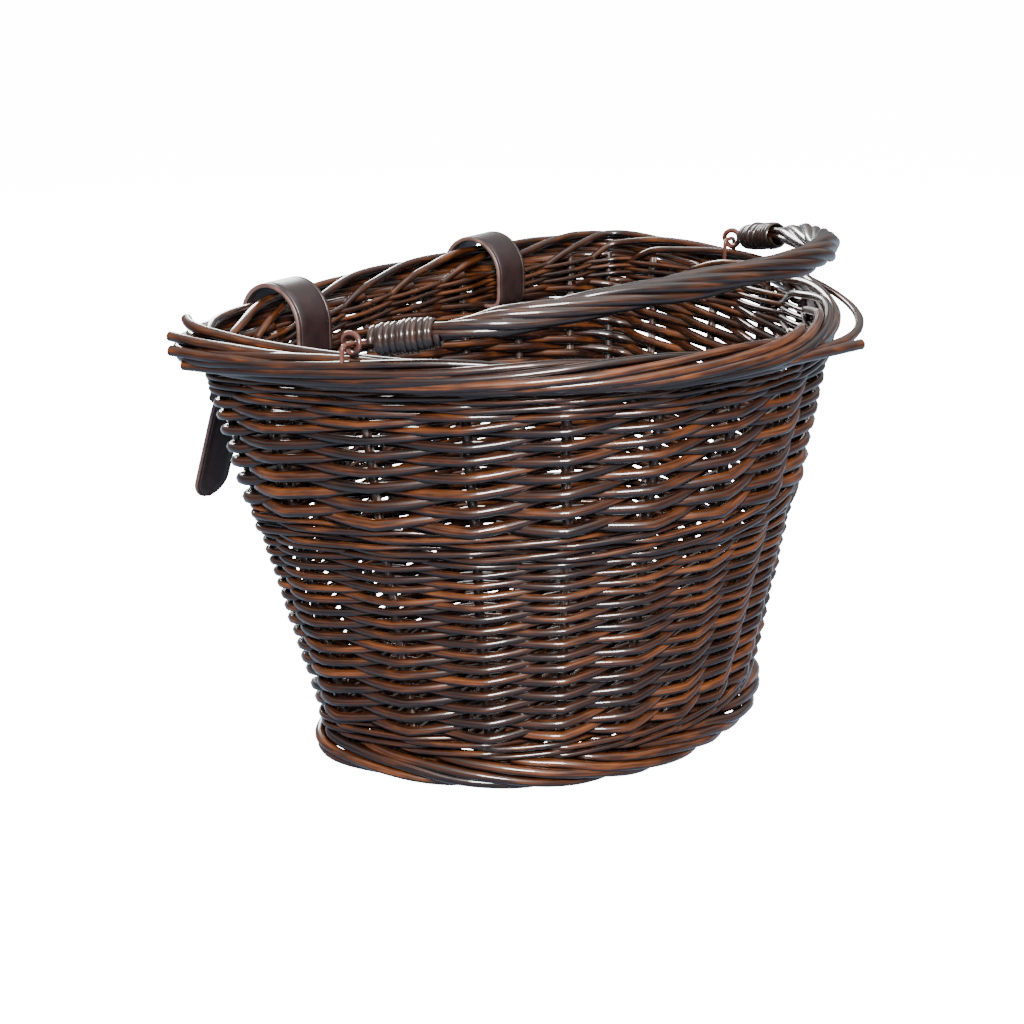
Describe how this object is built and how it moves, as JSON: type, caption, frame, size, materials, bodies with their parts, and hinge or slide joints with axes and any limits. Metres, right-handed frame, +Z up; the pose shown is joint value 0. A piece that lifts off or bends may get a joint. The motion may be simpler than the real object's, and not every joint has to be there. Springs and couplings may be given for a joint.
{
  "type": "handlebar basket",
  "caption": "Dark stained willow basket with a D-shaped plan, a folding twisted carrying handle and buckled leather straps that hang it on a handlebar.",
  "frame": {"origin": "on the ground under the back of the foot border, on the basket's mirror plane", "axes": "+X to the rider's right, -Y to the front of the basket, +Y to the handlebar, +Z up"},
  "size_m": [0.4154, 0.3791, 0.2994],
  "materials": {
    "stained_willow": "dark brown stain under gloss varnish, round rods",
    "willow_weave": "dark brown stain under gloss varnish, woven rods",
    "split_willow_binding": "dark brown stain, satin, wound split rod",
    "brown_leather": "dark chocolate leather with a low sheen and raw lighter edges",
    "nickel_plated_steel": "nickel plated wire"
  },
  "bodies": {
    "basket": {"base_stick_1": "stained_willow", "base_stick_2": "stained_willow", "base_stick_3": "stained_willow", "base_stick_4": "stained_willow", "base_stick_5": "stained_willow", "base_weave": "willow_weave", "foot_border": "willow_weave", "lower_rand": "willow_weave", "middle_wale": "willow_weave", "rim_border": "willow_weave", "stake_01": "stained_willow", "stake_02": "stained_willow", "stake_03": "stained_willow", "stake_04": "stained_willow", "stake_05": "stained_willow", "stake_06": "stained_willow", "stake_07": "stained_willow", "stake_08": "stained_willow", "stake_09": "stained_willow", "stake_10": "stained_willow", "stake_11": "stained_willow", "stake_12": "stained_willow", "stake_13": "stained_willow", "stake_14": "stained_willow", "stake_15": "stained_willow", "stake_16": "stained_willow", "stake_17": "stained_willow", "stake_18": "stained_willow", "stake_19": "stained_willow", "stake_20": "stained_willow", "stake_21": "stained_willow", "stake_22": "stained_willow", "stake_23": "stained_willow", "staple_left": "stained_willow", "staple_right": "stained_willow", "strap_left": "brown_leather", "strap_right": "brown_leather", "top_wale": "willow_weave", "upper_rand": "willow_weave", "upsett_wale": "willow_weave"},
    "handle": {"handle_bow": "stained_willow", "handle_ring_left": "stained_willow", "handle_ring_right": "stained_willow", "handle_whipping_left": "split_willow_binding", "handle_whipping_right": "split_willow_binding"},
    "buckle_left": {"buckle_frame_left": "nickel_plated_steel"},
    "prong_left": {"prong_left": "nickel_plated_steel"},
    "keeper_left": {"keeper_left": "brown_leather"},
    "tail_left": {"strap_tail_left": "brown_leather"},
    "buckle_right": {"buckle_frame_right": "nickel_plated_steel"},
    "prong_right": {"prong_right": "nickel_plated_steel"},
    "keeper_right": {"keeper_right": "brown_leather"},
    "tail_right": {"strap_tail_right": "brown_leather"}
  },
  "joints": [
    {"name": "handle_swing", "type": "hinge", "parent": "basket", "child": "handle", "pos_m": [0, -0.1086, 0.25798], "axis": [-1, 0, 0], "range_deg": [0, 150]},
    {"name": "buckle_left_swing", "type": "hinge", "parent": "basket", "child": "buckle_left", "pos_m": [-0.0925, 0.06037, 0.19185], "axis": [-1, 0, 0], "range_deg": [0, 30]},
    {"name": "prong_left_lift", "type": "hinge", "parent": "buckle_left", "child": "prong_left", "pos_m": [-0.0925, 0.06037, 0.19185], "axis": [-1, 0, 0], "range_deg": [0, 35]},
    {"name": "keeper_left_slide", "type": "slide", "parent": "basket", "child": "keeper_left", "axis": [0, 0.4472, -0.8944], "range_m": [0, 0.005]},
    {"name": "tail_left_bend", "type": "hinge", "parent": "basket", "child": "tail_left", "pos_m": [-0.0925, 0.076, 0.174], "axis": [1, 0, 0], "range_deg": [-15, 40]},
    {"name": "buckle_right_swing", "type": "hinge", "parent": "basket", "child": "buckle_right", "pos_m": [0.0925, 0.06037, 0.19185], "axis": [-1, 0, 0], "range_deg": [0, 30]},
    {"name": "prong_right_lift", "type": "hinge", "parent": "buckle_right", "child": "prong_right", "pos_m": [0.0925, 0.06037, 0.19185], "axis": [-1, 0, 0], "range_deg": [0, 35]},
    {"name": "keeper_right_slide", "type": "slide", "parent": "basket", "child": "keeper_right", "axis": [0, 0.4472, -0.8944], "range_m": [0, 0.005]},
    {"name": "tail_right_bend", "type": "hinge", "parent": "basket", "child": "tail_right", "pos_m": [0.0925, 0.076, 0.174], "axis": [1, 0, 0], "range_deg": [-15, 40]}
  ]
}
